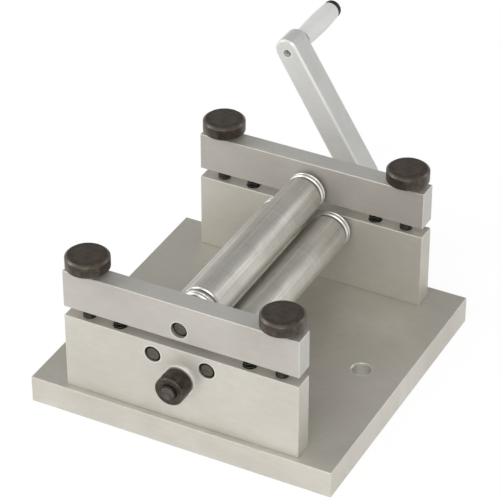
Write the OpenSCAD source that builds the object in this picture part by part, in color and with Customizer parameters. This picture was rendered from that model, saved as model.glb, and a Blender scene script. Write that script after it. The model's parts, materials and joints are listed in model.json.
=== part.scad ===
// Hand-cranked bench bending rolls: two geared lower rollers and a screw-down top roller.
// Millimetres. X runs along the front edge, Y from the front to the crank, Z up.
// The origin is the centre of the base plate's underside.

/* [Base plate] */
// Width of the base plate along its front edge
base_w = 152; // [140:1:200]
// Depth of the base plate from front to back
base_d = 148.5; // [120:0.5:200]
// Thickness of the base plate
base_t = 13.7; // [12:0.1:25]
// Diameter of the two bench bolt holes
bolt_hole_d = 9; // [6:0.5:11]
// Distance of a bench bolt hole from the side edge
bolt_hole_inset = 20.5; // [12:0.5:30]
// Countersink that breaks the rim of a bench bolt hole
bolt_hole_rim = 0.4; // [0.2:0.1:1]

/* [End blocks and bars] */
// Length of the end blocks and bars
block_l = 117; // [110:0.5:138]
// Thickness of the end blocks and bars
block_t = 10; // [9:0.5:14]
// Height of an end block
block_h = 38.7; // [34:0.1:60]
// Height of a floating bar
bar_h = 19.1; // [15:0.1:30]
// Front block's setback from the base plate's front edge
front_inset = 3; // [1:0.1:10]
// Rear block's setback from the base plate's rear edge
rear_inset = 6.6; // [1:0.1:12]
// Broken edge of the plate, blocks and bars
edge_break = 0.3; // [0.2:0.1:1.2]

/* [Rollers] */
// Diameter of the three rollers
roller_d = 19; // [14:0.5:23]
// Distance between the axes of the lower rollers
roller_spacing = 27; // [26:0.5:32]
// Clear distance between the top roller and each lower roller
feed_gap = 3; // [2.8:0.1:6]
// Diameter of the roller journals
journal_d = 8; // [6:0.5:9]
// Depth of the lower roller axes below the block's top face
lower_bore_drop = 6.6; // [6:0.1:10]
// Height of the top roller's axis above the bar's underside
top_bore_rise = 6; // [5.5:0.1:9]
// Depth of the drive shaft's axis below the lower roller axes
drive_drop = 9.5; // [9:0.5:14]
// Clear distance from the front block to the barrels of the rollers
barrel_front_gap = 5.3; // [1:0.1:8]
// Clear distance from the rear block to the barrels of the rollers
barrel_rear_gap = 1.5; // [1:0.1:8]
// Diameter of the shoulder that keeps a barrel off the block
shoulder_d = 11; // [10:0.5:11.5]
// Bevel at the ends of a roller's barrel
roller_bevel = 1.2; // [0.4:0.1:2]
// Distance of the turned groove from the end of the barrel
groove_inset = 4.8; // [4:0.1:8]
// Width of the turned groove
groove_w = 2.4; // [1:0.1:3]
// Depth of the turned groove
groove_depth = 0.9; // [0.2:0.1:1.2]

/* [Gears] */
// Teeth of the pinion on the drive shaft
pinion_teeth = 17; // [15:1:20]
// Teeth of each gear on a lower roller
gear_teeth = 25; // [22:1:28]
// Face width of the roller gears
gear_w = 8; // [5:0.5:12]
// Length of a gear's hub beyond its teeth
hub_l = 6; // [5:0.5:10]
// Wall of a gear's hub around its bore
hub_wall = 3; // [2:0.5:3.5]
// Play between the tooth flanks, each gear's share of it
flank_play = 0.1; // [0.05:0.01:0.15]

/* [Drive shaft and collar] */
// Diameter of the drive shaft
shaft_d = 8; // [6:0.5:9]
// Outer diameter of the shaft collar
collar_d = 14.2; // [13:0.1:17]
// Length of the shaft collar
collar_l = 9; // [7:0.1:14]
// Length of the shaft's stub in front of the collar
stub_l = 1.3; // [0.5:0.1:4]
// Outer diameter of the thrust washer
washer_d = 15; // [13:0.5:18]
// Thickness of the thrust washer
washer_t = 1.2; // [0.8:0.1:2]
// Angle of the collar's set screw from straight up, towards the left
collar_screw_angle = 50; // [0:5:90]

/* [Crank] */
// Distance from the shaft to the grip's axis
crank_r = 73.5; // [50:0.1:100]
// Lean of the crank arm from upright, towards the left
crank_lean = 31.44; // [0:0.01:60]
// Clear distance from the rear block to the crank arm
crank_standoff = 42.3; // [30:0.1:60]
// Width of the arm at the shaft
arm_hub_w = 12.9; // [12:0.1:16]
// Width of the arm at the grip
arm_tip_w = 12.1; // [8:0.1:14]
// Distance from the grip's axis out to the centre of the arm's round end
arm_tip_reach = 1.2; // [0:0.1:3]
// Thickness of the arm along the shaft
arm_t = 13.6; // [10:0.1:16]
// Broken edge of the arm
arm_break = 0.9; // [0.3:0.1:1.2]

/* [Grip] */
// Length of the grip sleeve
grip_l = 34; // [24:0.5:50]
// Clear distance from the arm to the grip sleeve
grip_gap = 0.8; // [0.3:0.1:0.9]
// Diameter of the grip at its arm end
grip_root_d = 9.1; // [7.5:0.1:12]
// Largest diameter of the grip
grip_d = 10.3; // [8.5:0.1:14]
// Diameter of the grip at its far end
grip_far_d = 9.4; // [7.5:0.1:12]
// Diameter of the grip screw's plain shoulder
grip_shoulder_d = 5; // [4.5:0.1:6]
// Thread diameter of the grip screw
grip_thread_d = 4; // [3:0.5:4]
// Depth of the grip screw's end below the arm's front face
grip_screw_recess = 3; // [0.5:0.5:6]
// Diameter of the grip screw's head
grip_head_d = 9.2; // [7:0.1:12]
// Height of the grip screw's head
grip_head_h = 3.6; // [1.5:0.1:4]

/* [Thumbscrews] */
// Diameter of a thumbscrew's head
thumb_d = 20.5; // [16:0.5:26]
// Height of a thumbscrew's head
thumb_h = 6.8; // [5:0.1:10]
// Bevel around a thumbscrew's head
thumb_bevel = 1.2; // [0.4:0.1:1.8]
// Diameter of the shoulder under a thumbscrew's head
thumb_shoulder_d = 12; // [9:0.5:15]
// Height of the shoulder under a thumbscrew's head
thumb_shoulder_h = 2.3; // [1.5:0.1:5]
// Thread diameter of a thumbscrew
thumb_thread_d = 6; // [5:0.5:7]
// Length of thumbscrew thread in the end block
thumb_engage = 14; // [10:0.5:17]
// Travel that a thumbscrew still has downwards
bar_travel = 3.5; // [2:0.5:6]
// Distance of a thumbscrew from the block's end
screw_inset = 10.5; // [8:0.25:14]

/* [Lift springs] */
// Outer diameter of a lift spring
spring_d = 6; // [5:0.1:7]
// Wire diameter of a lift spring
spring_wire = 0.8; // [0.5:0.1:1]
// Turns of a lift spring
spring_turns = 7; // [5:1:8]
// Depth of the pocket that a lift spring stands in
pocket_depth = 9; // [6:0.5:14]
// Distance from a thumbscrew to the lift spring beside it
spring_pitch = 15.7; // [12:0.1:18]

/* [Fasteners] */
// Thread diameter of the screws that hold the blocks
block_screw_d = 5; // [4:0.5:6]
// Thread length of a block screw in the block
block_screw_engage = 12; // [8:0.5:14]
// Head diameter of a block screw
block_head_d = 8.5; // [8:0.1:10]
// Head height of a block screw
block_head_h = 5; // [4:0.1:6]
// Distance of a block screw from the block's end
block_screw_inset = 22; // [15:0.5:30]
// Thread diameter of the set screws in the gears, collar and arm
set_screw_d = 3; // [2:0.5:4]

/* [Hidden] */
// Radial clearances: running fit, screw thread, spring in its pocket
run_clear = 0.05;
thread_clear = 0.04;
pocket_clear = 0.4;
// Play at the ends of the rollers, gears and collar, and under a screw's tip
end_play = 0.4;
tip_room = 2;
// Recess of the journals' ends, lower rollers and top roller
lower_recess = 0.3;
top_recess = 1.4;
// Small bevel on journals, shafts and screw tips
turn_bevel = 0.5;
// Clear distance that keeps a cut open through a face
cut = 1;
// Grip: share of its length where it is thickest, rounding of its ends and steps of its outline
grip_swell = 0.58;
grip_round = 0.8;
grip_steps = 12;
// Seat of a spring's ends, and the clear space around a recessed screw head
spring_seat = 0.1;
head_room = 0.4;
// Hex sockets across their corners, as a share of a set screw's thread or a cap screw's head
socket_share = 0.7;
head_socket_share = 0.54;
// Depth of the socket in a set screw
socket_depth = 1.2;
// Facets on round surfaces and on a spring's wire
$fn = 64;
spring_rings = 8;
spring_sides = 6;
// Tooth proportions in modules, pressure angle and points on each flank
addendum = 1;
dedendum = 1.25;
pressure_angle = 20;
flank_points = 5;

front_y = -base_d / 2 + front_inset;
rear_y = base_d / 2 - rear_inset;
front_mid_y = front_y + block_t / 2;
rear_mid_y = rear_y - block_t / 2;
inner_front_y = front_y + block_t;
inner_rear_y = rear_y - block_t;
block_top = base_t + block_h;
roller_z = block_top - lower_bore_drop;
drive_z = roller_z - drive_drop;
half_spacing = roller_spacing / 2;
top_roller_z = roller_z + sqrt(pow(roller_d + feed_gap, 2) - pow(half_spacing, 2));
bar_z = top_roller_z - top_bore_rise;
bar_top = bar_z + bar_h;
screw_x = block_l / 2 - screw_inset;
spring_x = screw_x - spring_pitch;
block_screw_x = block_l / 2 - block_screw_inset;
bolt_hole_x = base_w / 2 - bolt_hole_inset;

gear_distance = sqrt(pow(half_spacing, 2) + pow(drive_drop, 2));
gear_module = 2 * gear_distance / (pinion_teeth + gear_teeth);
gear_y = rear_y + end_play;
pinion_w = gear_w + 2 * end_play;
hub_end_y = gear_y + gear_w + hub_l;
gear_screw_y = gear_y + gear_w + hub_l / 2;
pinion_screw_y = gear_y + pinion_w + hub_l / 2;

washer_y = front_y - washer_t;
collar_y = washer_y - collar_l;
arm_y = rear_y + crank_standoff;
arm_back_y = arm_y + arm_t;
shaft_front_y = collar_y - stub_l;
grip_x = -crank_r * sin(crank_lean);
grip_z = drive_z + crank_r * cos(crank_lean);
arm_tip_x = -(crank_r + arm_tip_reach) * sin(crank_lean);
arm_tip_z = drive_z + (crank_r + arm_tip_reach) * cos(crank_lean);
grip_y = arm_back_y + grip_gap;
grip_end_y = grip_y + grip_l;

thumb_tip_z = block_top - thumb_engage;
thumb_hole_z = thumb_tip_z - bar_travel - tip_room;
pocket_z = block_top - pocket_depth;
head_recess_z = block_head_h + head_room;

steel = [0.72, 0.72, 0.70];
satin = [0.74, 0.73, 0.69];
black = [0.20, 0.18, 0.16];
bright = [0.82, 0.82, 0.80];
white = [0.90, 0.90, 0.88];

// Shared shapes

// Turns a shape that stands along Z so that it lies along Y, starting at y
module along_y(x, y, z) {
    translate([x, y, z]) rotate([-90, 0, 0]) children();
}

module round_hole(x, y, z, d, l) {
    along_y(x, y - cut, z) cylinder(d = d, h = l + 2 * cut);
}

module bevelled_rect(w, h, c) {
    polygon([
        [-w / 2 + c, -h / 2], [w / 2 - c, -h / 2], [w / 2, -h / 2 + c], [w / 2, h / 2 - c],
        [w / 2 - c, h / 2], [-w / 2 + c, h / 2], [-w / 2, h / 2 - c], [-w / 2, -h / 2 + c]
    ]);
}

// A bar with every edge broken, centred on X and Y and standing on Z = 0
module broken_bar(w, d, h, c) {
    intersection() {
        linear_extrude(h) bevelled_rect(w, d, c);
        translate([0, d / 2, h / 2]) rotate([90, 0, 0]) linear_extrude(d) bevelled_rect(w, h, c);
        translate([-w / 2, 0, h / 2]) rotate([90, 0, 90]) linear_extrude(w) bevelled_rect(d, h, c);
    }
}

// A turned rod with bevelled ends, standing on Z = 0
module turned_rod(d, l, c) {
    rotate_extrude() polygon([
        [0, 0], [d / 2 - c, 0], [d / 2, c], [d / 2, l - c], [d / 2 - c, l], [0, l]
    ]);
}

// Set screw along Z from z0 to z1, with a hex socket in its outer end
module set_screw(z0, z1) {
    difference() {
        translate([0, 0, z0]) cylinder(d = set_screw_d, h = z1 - z0);
        translate([0, 0, z1 - socket_depth])
            cylinder(d = set_screw_d * socket_share, h = socket_depth + cut, $fn = 6);
    }
}

module set_screw_hole(z1) {
    cylinder(d = set_screw_d + 2 * thread_clear, h = z1 + cut);
}

// Base and end blocks

module base_plate() {
    color(satin) difference() {
        broken_bar(base_w, base_d, base_t, edge_break);
        for (side = [-1, 1]) translate([side * bolt_hole_x, 0, 0]) {
            translate([0, 0, -cut]) cylinder(d = bolt_hole_d, h = base_t + 2 * cut);
            translate([0, 0, base_t - bolt_hole_rim])
                cylinder(d1 = bolt_hole_d, d2 = bolt_hole_d + 4 * bolt_hole_rim, h = 2 * bolt_hole_rim);
        }
        for (side = [-1, 1], y = [front_mid_y, rear_mid_y]) translate([side * block_screw_x, y, -cut]) {
            cylinder(d = block_screw_d + 2 * head_room, h = base_t + 2 * cut);
            cylinder(d = block_head_d + 2 * head_room, h = head_recess_z + cut);
        }
    }
}

module end_block(y) {
    color(satin) difference() {
        translate([0, y, base_t]) broken_bar(block_l, block_t, block_h, edge_break);
        for (side = [-1, 1]) {
            round_hole(side * half_spacing, y - block_t / 2, roller_z, journal_d + 2 * run_clear, block_t);
            translate([side * screw_x, y, thumb_hole_z])
                cylinder(d = thumb_thread_d + 2 * run_clear, h = block_top - thumb_hole_z + cut);
            translate([side * spring_x, y, pocket_z])
                cylinder(d = spring_d + 2 * pocket_clear, h = pocket_depth + cut);
            translate([side * block_screw_x, y, base_t - cut])
                cylinder(d = block_screw_d + 2 * thread_clear, h = block_screw_engage + tip_room + cut);
        }
        round_hole(0, y - block_t / 2, drive_z, shaft_d + 2 * run_clear, block_t);
    }
}

module front_block() {
    end_block(front_mid_y);
}

module rear_block() {
    end_block(rear_mid_y);
}

module block_screws() {
    shank_l = base_t + block_screw_engage - head_recess_z;
    color(black) for (side = [-1, 1], y = [front_mid_y, rear_mid_y])
        translate([side * block_screw_x, y, head_room]) difference() {
            union() {
                cylinder(d = block_head_d, h = block_head_h);
                translate([0, 0, block_head_h]) turned_rod(block_screw_d, shank_l, turn_bevel);
            }
            translate([0, 0, -cut])
                cylinder(d = block_head_d * head_socket_share, h = block_head_h / 2 + cut, $fn = 6);
        }
}

// Floating bars

module floating_bar(y) {
    color(satin) difference() {
        translate([0, y, bar_z]) broken_bar(block_l, block_t, bar_h, edge_break);
        round_hole(0, y - block_t / 2, top_roller_z, journal_d + 2 * run_clear, block_t);
        for (side = [-1, 1]) translate([side * screw_x, y, bar_z - cut])
            cylinder(d = thumb_thread_d + 2 * run_clear, h = bar_h + 2 * cut);
    }
}

module front_bar() {
    floating_bar(front_mid_y);
}

module rear_bar() {
    floating_bar(rear_mid_y);
}

// Thumbscrew turned in one piece: threaded shank, shoulder and bevelled head
module thumbscrew(side, y) {
    tip_r = thumb_thread_d / 2;
    head_z = bar_top + thumb_shoulder_h;
    head_top = head_z + thumb_h;
    head_r = thumb_d / 2;
    color(black) translate([side * screw_x, y, 0]) rotate_extrude() polygon([
        [0, thumb_tip_z], [tip_r - turn_bevel, thumb_tip_z], [tip_r, thumb_tip_z + turn_bevel],
        [tip_r, bar_top], [thumb_shoulder_d / 2, bar_top], [thumb_shoulder_d / 2, head_z],
        [head_r - thumb_bevel, head_z], [head_r, head_z + thumb_bevel],
        [head_r, head_top - thumb_bevel], [head_r - thumb_bevel, head_top], [0, head_top]
    ]);
}

module thumbscrew_front_left() {
    thumbscrew(-1, front_mid_y);
}

module thumbscrew_front_right() {
    thumbscrew(1, front_mid_y);
}

module thumbscrew_rear_left() {
    thumbscrew(-1, rear_mid_y);
}

module thumbscrew_rear_right() {
    thumbscrew(1, rear_mid_y);
}

// Lift springs: one wire swept along a helix from the pocket's floor to the bar's underside

spring_r = (spring_d - spring_wire) / 2;
spring_z0 = pocket_z + spring_wire / 2 + spring_seat;
spring_rise = bar_z - spring_wire / 2 - spring_seat - spring_z0;
spring_steps = spring_turns * spring_rings;
spring_lead = spring_rise / spring_turns;
spring_slope = atan2(spring_lead, 2 * PI * spring_r);

// Point on the wire's skin: step along the helix, angle around the wire
function wire_point(step, around) =
    let (
        turn = 360 * step / spring_rings,
        reach = spring_r + spring_wire / 2 * cos(around),
        side = -spring_wire / 2 * sin(around) * sin(spring_slope),
        axis_z = spring_z0 + spring_rise * step / spring_steps,
        rise = axis_z + spring_wire / 2 * sin(around) * cos(spring_slope)
    )
    [reach * cos(turn) - side * sin(turn), reach * sin(turn) + side * cos(turn), rise];

wire_points = [
    for (step = [0 : spring_steps], k = [0 : spring_sides - 1]) wire_point(step, 360 * k / spring_sides)
];
wire_faces = concat(
    [for (k = [1 : spring_sides - 2]) [0, k, k + 1]],
    [for (step = [0 : spring_steps - 1], k = [0 : spring_sides - 1], half = [0, 1])
        let (
            a = step * spring_sides + k,
            b = step * spring_sides + (k + 1) % spring_sides
        )
        half == 0 ? [a, a + spring_sides, b] : [b, a + spring_sides, b + spring_sides]],
    [for (k = [1 : spring_sides - 2])
        let (last = spring_steps * spring_sides) [last, last + k + 1, last + k]]
);

// Least gap from each point on the wire's skin to the wire one turn later
wire_gap = min([
    for (step = [0 : spring_steps - spring_rings], k = [0 : spring_sides - 1])
        for (next = [step + spring_rings - 1 : min(spring_steps, step + spring_rings + 1)])
            for (m = [0 : spring_sides - 1])
                norm(wire_point(step, 360 * k / spring_sides) - wire_point(next, 360 * m / spring_sides))
]);
echo(lift_spring_least_gap = wire_gap);

module lift_spring(side, y) {
    color(black) translate([side * spring_x, y, 0]) polyhedron(points = wire_points, faces = wire_faces);
}

module lift_spring_front_left() {
    lift_spring(-1, front_mid_y);
}

module lift_spring_front_right() {
    lift_spring(1, front_mid_y);
}

module lift_spring_rear_left() {
    lift_spring(-1, rear_mid_y);
}

module lift_spring_rear_right() {
    lift_spring(1, rear_mid_y);
}

// Rollers

function groove_outline(at, r) = [
    [r, at - groove_w / 2], [r - groove_depth, at - groove_w / 4],
    [r - groove_depth, at + groove_w / 4], [r, at + groove_w / 2]
];

// Roller turned in one piece, with journals that end at front_end and rear_end
module roller(x, z, front_end, rear_end) {
    r = roller_d / 2;
    journal_r = journal_d / 2;
    shoulder_r = shoulder_d / 2;
    shoulder_front = inner_front_y + end_play;
    shoulder_rear = inner_rear_y - end_play;
    barrel_front = inner_front_y + barrel_front_gap;
    barrel_rear = inner_rear_y - barrel_rear_gap;
    outline = concat(
        [[0, front_end], [journal_r - turn_bevel, front_end], [journal_r, front_end + turn_bevel],
            [journal_r, shoulder_front], [shoulder_r, shoulder_front], [shoulder_r, barrel_front],
            [r - roller_bevel, barrel_front], [r, barrel_front + roller_bevel]],
        groove_outline(barrel_front + groove_inset, r),
        groove_outline(barrel_rear - groove_inset, r),
        [[r, barrel_rear - roller_bevel], [r - roller_bevel, barrel_rear], [shoulder_r, barrel_rear],
            [shoulder_r, shoulder_rear], [journal_r, shoulder_rear],
            [journal_r, rear_end - turn_bevel], [journal_r - turn_bevel, rear_end], [0, rear_end]]
    );
    color(steel) along_y(x, 0, z) rotate_extrude() polygon(outline);
}

module top_roller() {
    roller(0, top_roller_z, front_y + top_recess, rear_y - top_recess);
}

module lower_roller_left() {
    roller(-half_spacing, roller_z, front_y + lower_recess, hub_end_y);
}

module lower_roller_right() {
    roller(half_spacing, roller_z, front_y + lower_recess, hub_end_y);
}

// Involute gears

function pitch_r(teeth) = gear_module * teeth / 2;

function base_r(teeth) = pitch_r(teeth) * cos(pressure_angle);

function involute_lag(angle) = tan(angle) * 180 / PI - angle;

// Half the angle that a tooth spans at radius r
function half_tooth(teeth, r) =
    90 / teeth - flank_play / 2 / pitch_r(teeth) * 180 / PI
    + involute_lag(pressure_angle) - involute_lag(acos(min(1, base_r(teeth) / r)));

function tooth_outline(teeth, middle) =
    let (
        root = pitch_r(teeth) - dedendum * gear_module,
        tip = pitch_r(teeth) + addendum * gear_module,
        start = max(root, base_r(teeth)),
        radii = [for (i = [0 : flank_points - 1]) start + (tip - start) * i / (flank_points - 1)],
        foot = half_tooth(teeth, start),
        rising = [for (r = radii) [r, middle - half_tooth(teeth, r)]],
        falling = [for (i = [flank_points - 1 : -1 : 0]) [radii[i], middle + half_tooth(teeth, radii[i])]]
    )
    concat([[root, middle - foot]], rising, falling, [[root, middle + foot]]);

// Gear standing on Z = 0, with one tooth pointing at the angle phase and its hub above the teeth
module spur_gear(teeth, face_w, phase, bore, screw_angle) {
    polar = [for (i = [0 : teeth - 1]) each tooth_outline(teeth, phase + 360 * i / teeth)];
    hub_r = bore / 2 + hub_wall;
    color(bright) difference() {
        union() {
            linear_extrude(face_w) polygon([for (p = polar) [p[0] * cos(p[1]), p[0] * sin(p[1])]]);
            translate([0, 0, face_w]) cylinder(r = hub_r, h = hub_l);
        }
        translate([0, 0, -cut]) cylinder(d = bore + 2 * thread_clear, h = face_w + hub_l + 2 * cut);
        translate([0, 0, face_w + hub_l / 2]) rotate([0, 90, screw_angle]) set_screw_hole(hub_r);
    }
}

// Angle of the line from the pinion to a roller gear, as the gears are drawn before they are laid along Y
function mesh_angle(side) = atan2(-drive_drop, side * half_spacing);

// Phase that sets a gear's tooth space on the pinion's tooth, when a pinion tooth points along +X
function gear_phase(side) =
    mesh_angle(side) + 180 + mesh_angle(side) * pinion_teeth / gear_teeth + 180 / gear_teeth;

// Set screws point straight up
up_angle = -90;

module roller_gear(side) {
    along_y(side * half_spacing, gear_y, roller_z)
        spur_gear(gear_teeth, gear_w, gear_phase(side), journal_d, up_angle);
}

module roller_gear_left() {
    roller_gear(-1);
}

module roller_gear_right() {
    roller_gear(1);
}

module drive_pinion() {
    along_y(0, gear_y, drive_z) spur_gear(pinion_teeth, pinion_w, 0, shaft_d, -up_angle);
}

module gear_screw(side) {
    color(black) translate([side * half_spacing, gear_screw_y, roller_z])
        set_screw(journal_d / 2, journal_d / 2 + hub_wall);
}

module gear_screw_left() {
    gear_screw(-1);
}

module gear_screw_right() {
    gear_screw(1);
}

module pinion_screw() {
    color(black) translate([0, pinion_screw_y, drive_z]) rotate([180, 0, 0])
        set_screw(shaft_d / 2, shaft_d / 2 + hub_wall);
}

// Drive shaft, collar and washer

module drive_shaft() {
    color(steel) along_y(0, shaft_front_y, drive_z)
        turned_rod(shaft_d, arm_back_y + turn_bevel - shaft_front_y, turn_bevel);
}

module shaft_collar() {
    color(black) difference() {
        along_y(0, collar_y, drive_z) difference() {
            turned_rod(collar_d, collar_l, turn_bevel);
            translate([0, 0, -cut]) cylinder(d = shaft_d + 2 * thread_clear, h = collar_l + 2 * cut);
        }
        translate([0, collar_y + collar_l / 2, drive_z]) rotate([0, -collar_screw_angle, 0])
            set_screw_hole(collar_d / 2);
    }
}

module collar_screw() {
    color(black) translate([0, collar_y + collar_l / 2, drive_z]) rotate([0, -collar_screw_angle, 0])
        set_screw(shaft_d / 2, collar_d / 2 - turn_bevel);
}

module thrust_washer() {
    color(bright) along_y(0, washer_y, drive_z) difference() {
        cylinder(d = washer_d, h = washer_t);
        translate([0, 0, -cut]) cylinder(d = shaft_d + 2 * run_clear, h = washer_t + 2 * cut);
    }
}

// Crank

module crank_arm() {
    color(satin) difference() {
        hull() {
            along_y(0, arm_y, drive_z) turned_rod(arm_hub_w, arm_t, arm_break);
            along_y(arm_tip_x, arm_y, arm_tip_z) turned_rod(arm_tip_w, arm_t, arm_break);
        }
        round_hole(0, arm_y, drive_z, shaft_d + 2 * thread_clear, arm_t);
        round_hole(grip_x, arm_y, grip_z, grip_thread_d + 2 * thread_clear, arm_t);
        translate([0, arm_y + arm_t / 2, drive_z]) rotate([0, 180 - crank_lean, 0])
            set_screw_hole(arm_hub_w / 2);
    }
}

module arm_screw() {
    color(black) translate([0, arm_y + arm_t / 2, drive_z]) rotate([0, 180 - crank_lean, 0])
        set_screw(shaft_d / 2, arm_hub_w / 2);
}

// Shoulder screw: thread in the arm, plain shoulder for the grip, domed head at the far end
module grip_screw() {
    thread_r = grip_thread_d / 2;
    shoulder_r = grip_shoulder_d / 2;
    head_r = grip_head_d / 2;
    thread_front = arm_y + grip_screw_recess;
    head_y = grip_end_y + end_play;
    dome = [for (a = [0 : 15 : 90]) [head_r * cos(a), head_y + grip_head_h * (1 + sin(a)) / 2]];
    color(black) along_y(grip_x, 0, grip_z) rotate_extrude() polygon(concat(
        [[0, thread_front], [thread_r, thread_front], [thread_r, arm_back_y], [shoulder_r, arm_back_y],
            [shoulder_r, head_y], [head_r, head_y]],
        dome
    ));
}

// Half the width of the grip at a share t of its length: it swells to its largest and draws in again
function grip_r(t) =
    t < grip_swell
        ? grip_root_d / 2 + (grip_d - grip_root_d) / 2 * sin(90 * t / grip_swell)
        : grip_far_d / 2 + (grip_d - grip_far_d) / 2 * cos(90 * (t - grip_swell) / (1 - grip_swell));

// Barrel-shaped sleeve with rounded ends
module grip() {
    bore_r = grip_shoulder_d / 2 + run_clear;
    root_end = [
        for (a = [0 : 30 : 60])
            [grip_root_d / 2 - grip_round * (1 - sin(a)), grip_round * (1 - cos(a))]
    ];
    swell_l = grip_l - 2 * grip_round;
    swell = [for (i = [0 : grip_steps]) [grip_r(i / grip_steps), grip_round + i / grip_steps * swell_l]];
    far_end = [
        for (a = [30 : 30 : 90])
            [grip_far_d / 2 - grip_round * (1 - cos(a)), grip_l - grip_round * (1 - sin(a))]
    ];
    color(white) along_y(grip_x, grip_y, grip_z) rotate_extrude()
        polygon(concat([[bore_r, 0]], root_end, swell, far_end, [[bore_r, grip_l]]));
}

base_plate();
front_block();
rear_block();
block_screws();
front_bar();
rear_bar();
thumbscrew_front_left();
thumbscrew_front_right();
thumbscrew_rear_left();
thumbscrew_rear_right();
lift_spring_front_left();
lift_spring_front_right();
lift_spring_rear_left();
lift_spring_rear_right();
top_roller();
lower_roller_left();
lower_roller_right();
roller_gear_left();
roller_gear_right();
gear_screw_left();
gear_screw_right();
drive_shaft();
drive_pinion();
pinion_screw();
shaft_collar();
collar_screw();
thrust_washer();
crank_arm();
arm_screw();
grip_screw();
grip();
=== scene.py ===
import json
import math

import bmesh
import bpy
from mathutils import Matrix, Vector


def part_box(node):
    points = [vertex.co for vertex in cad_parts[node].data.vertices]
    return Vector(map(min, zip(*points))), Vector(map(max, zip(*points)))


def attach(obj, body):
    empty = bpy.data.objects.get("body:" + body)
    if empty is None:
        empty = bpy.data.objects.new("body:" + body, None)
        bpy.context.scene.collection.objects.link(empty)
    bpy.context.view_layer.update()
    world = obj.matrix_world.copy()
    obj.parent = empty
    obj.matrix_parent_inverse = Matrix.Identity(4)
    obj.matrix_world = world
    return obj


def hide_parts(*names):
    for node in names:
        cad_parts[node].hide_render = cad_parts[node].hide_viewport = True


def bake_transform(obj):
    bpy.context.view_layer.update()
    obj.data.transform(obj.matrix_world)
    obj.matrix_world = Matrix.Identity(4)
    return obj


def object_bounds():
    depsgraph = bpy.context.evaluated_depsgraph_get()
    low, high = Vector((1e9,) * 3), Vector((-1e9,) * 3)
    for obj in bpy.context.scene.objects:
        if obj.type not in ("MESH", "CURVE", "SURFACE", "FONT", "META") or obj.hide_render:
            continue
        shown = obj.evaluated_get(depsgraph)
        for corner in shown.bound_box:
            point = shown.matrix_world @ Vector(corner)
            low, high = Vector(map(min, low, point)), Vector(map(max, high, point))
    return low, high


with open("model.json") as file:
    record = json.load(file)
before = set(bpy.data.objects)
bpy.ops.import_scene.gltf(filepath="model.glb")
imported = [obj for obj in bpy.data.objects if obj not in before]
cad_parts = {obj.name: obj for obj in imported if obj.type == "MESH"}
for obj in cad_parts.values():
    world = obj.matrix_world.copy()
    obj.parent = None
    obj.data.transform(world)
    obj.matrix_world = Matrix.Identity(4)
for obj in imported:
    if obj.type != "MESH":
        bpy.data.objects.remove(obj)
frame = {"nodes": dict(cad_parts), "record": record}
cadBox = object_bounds()
nodes = frame["nodes"]
mm = 0.001
print("frame loaded:", len(nodes), "nodes")


# small helpers for node trees

def addNode(tree, kind, values=None, **settings):
    made = tree.nodes.new(kind)
    for label, value in settings.items():
        setattr(made, label, value)
    for label, value in (values or {}).items():
        made.inputs[label].default_value = value
    return made


def join(tree, source, target):
    tree.links.new(source, target)


def mathNode(tree, operation, first, second=None, third=None):
    made = addNode(tree, "ShaderNodeMath", operation=operation)
    for spot, value in enumerate((first, second, third)):
        if value is None:
            continue
        if isinstance(value, (int, float)):
            made.inputs[spot].default_value = value
        else:
            join(tree, value, made.inputs[spot])
    return made.outputs[0]


def spread(tree, value, low, high, toLow, toHigh):
    made = addNode(tree, "ShaderNodeMapRange", {
        "From Min": low, "From Max": high, "To Min": toLow, "To Max": toHigh})
    join(tree, value, made.inputs["Value"])
    return made.outputs["Result"]


def mixColours(tree, share, first, second):
    made = addNode(tree, "ShaderNodeMix", data_type="RGBA")
    for spot, value in ((0, share), (6, first), (7, second)):
        if isinstance(value, (int, float)):
            made.inputs[spot].default_value = value
        elif isinstance(value, tuple):
            made.inputs[spot].default_value = (*value, 1)
        else:
            join(tree, value, made.inputs[spot])
    return made.outputs[2]


def startGroup(name, inputs, outputs):
    group = bpy.data.node_groups.new(name, "ShaderNodeTree")
    for label, kind, value in inputs:
        socket = group.interface.new_socket(label, in_out="INPUT", socket_type="NodeSocket" + kind)
        socket.default_value = value
    for label in outputs:
        group.interface.new_socket(label, in_out="OUTPUT", socket_type="NodeSocketFloat")
    enter = group.nodes.new("NodeGroupInput")
    leave = group.nodes.new("NodeGroupOutput")
    return group, enter, leave


# shared effects, and the noise levels, cosines or lengths between which their masks rise
masks = {
    "edgeTurn": (0.985, 0.90), "patches": (0.35, 0.6), "leastWear": 0.35,
    "bevelRise": (0.3, 0.5), "bevelFall": (0.9, 0.97), "facing": 0.08,
    "frontEnd": 0.2 * mm, "bore": 0.15 * mm, "ring": 0.35 * mm,
}
broadGrain = 0.22  # scale of the broad grain beside the fine one


def makeGrain():
    group, enter, leave = startGroup(
        "surfaceGrain",
        [("Stretch", "Vector", (1, 1, 1)), ("Scale", "Float", 900)],
        ["Height", "Tone"])
    place = addNode(group, "ShaderNodeTexCoord")
    stretch = addNode(group, "ShaderNodeVectorMath", operation="MULTIPLY")
    join(group, place.outputs["Object"], stretch.inputs[0])
    join(group, enter.outputs["Stretch"], stretch.inputs[1])
    fine = addNode(group, "ShaderNodeTexNoise", {"Detail": 4, "Roughness": 0.65})
    join(group, stretch.outputs[0], fine.inputs["Vector"])
    join(group, enter.outputs["Scale"], fine.inputs["Scale"])
    join(group, fine.outputs["Fac"], leave.inputs["Height"])
    broad = addNode(group, "ShaderNodeTexNoise", {"Detail": 3, "Roughness": 0.55})
    join(group, stretch.outputs[0], broad.inputs["Vector"])
    broadScale = mathNode(group, "MULTIPLY", enter.outputs["Scale"], broadGrain)
    join(group, broadScale, broad.inputs["Scale"])
    join(group, broad.outputs["Fac"], leave.inputs["Tone"])
    return group


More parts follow.
